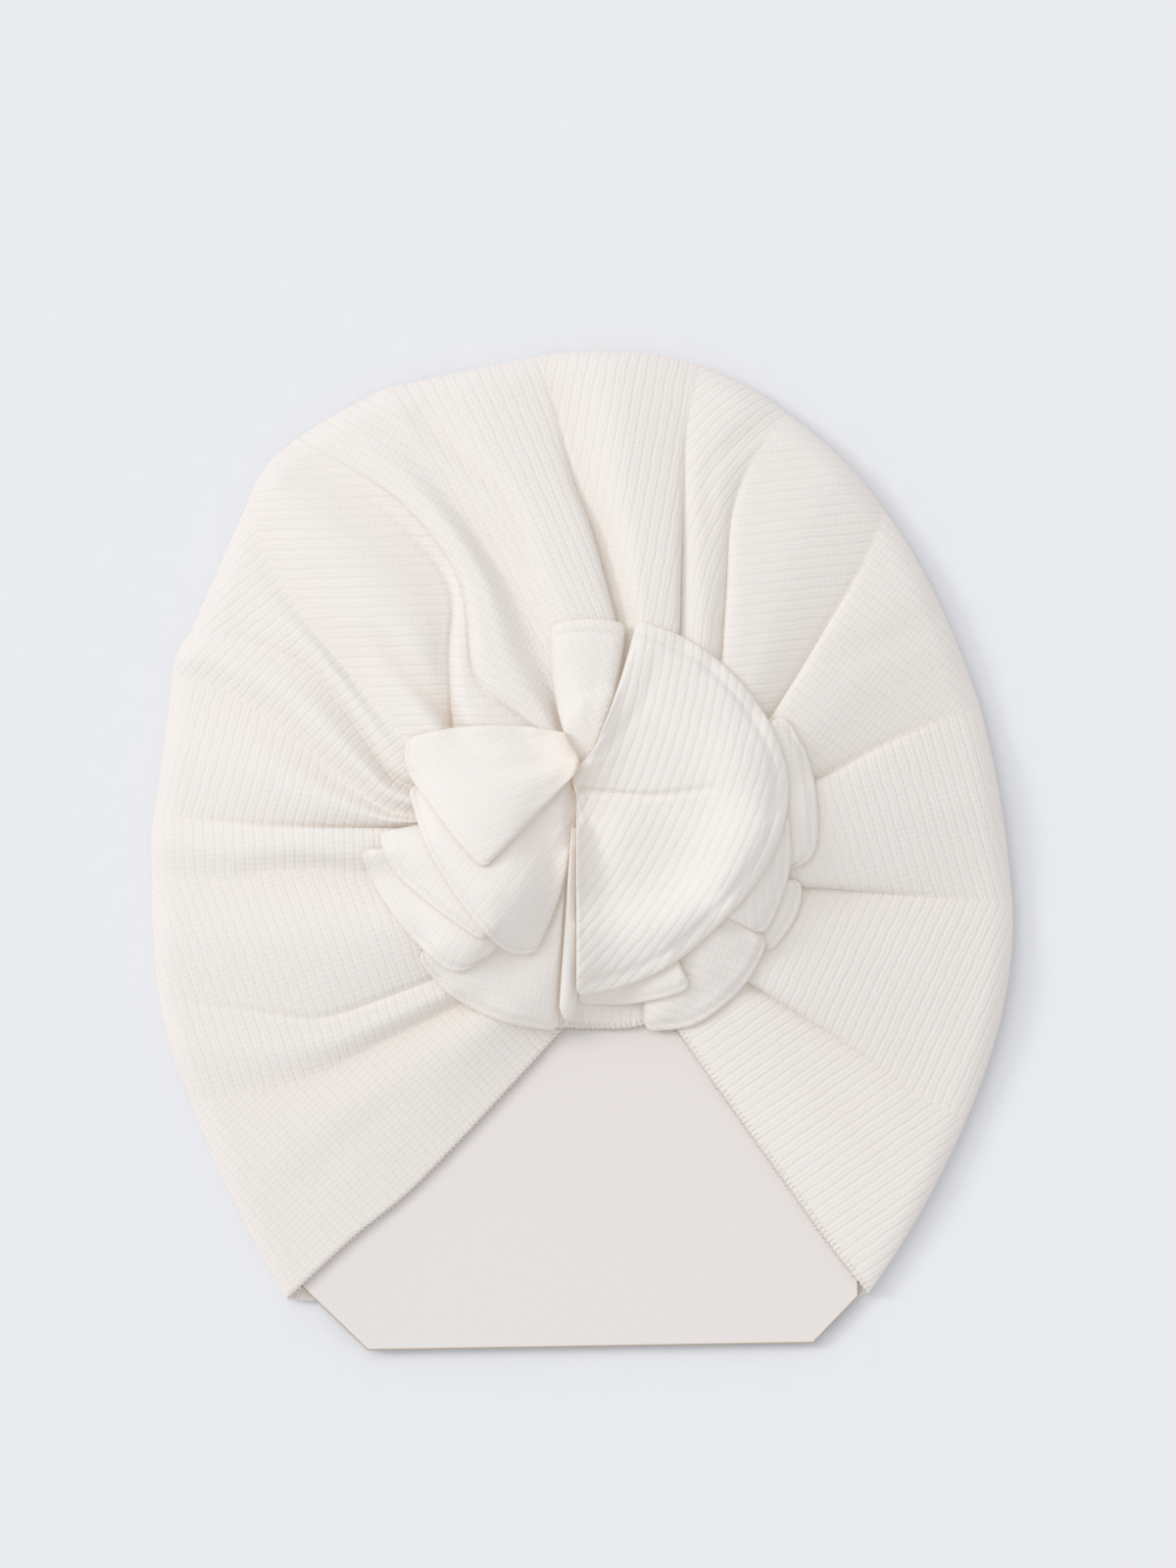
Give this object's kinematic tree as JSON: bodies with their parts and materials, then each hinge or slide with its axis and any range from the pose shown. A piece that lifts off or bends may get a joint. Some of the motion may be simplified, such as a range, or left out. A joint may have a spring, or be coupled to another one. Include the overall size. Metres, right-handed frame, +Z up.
{
  "type": "baby turban headwrap on a display card",
  "caption": "Ribbed knit baby turban lying flat, pleated front gathered under a layered fabric rosette, with an inverted V face opening over a plain display card.",
  "frame": {"origin": "on the surface that the hat lies on, under the middle of its outline with the card", "axes": "+Z up out of the rosette, +Y from the face opening towards the top of the hat, +X to the right of the front"},
  "size_m": [0.1753, 0.2037, 0.0322],
  "materials": {
    "crown_knit": "matte off-white ribbed knit",
    "rosette_knit": "matte cream ribbed knit",
    "card_board": "smooth matte off-white card"
  },
  "bodies": {
    "root": {"crown": "crown_knit", "display_card": "card_board", "rosette_base": "crown_knit", "petal_right": "rosette_knit", "petal_top": "rosette_knit", "petal_left_upper": "rosette_knit", "petal_left_lower": "rosette_knit", "petal_bottom_left": "rosette_knit", "petal_bottom": "rosette_knit", "petal_bottom_right": "rosette_knit", "fold_bottom": "rosette_knit", "fold_left_first": "rosette_knit", "fold_left_second": "rosette_knit", "fold_right_lower": "rosette_knit", "fold_right_outer": "rosette_knit", "edge_right": "rosette_knit"}
  },
  "joints": []
}
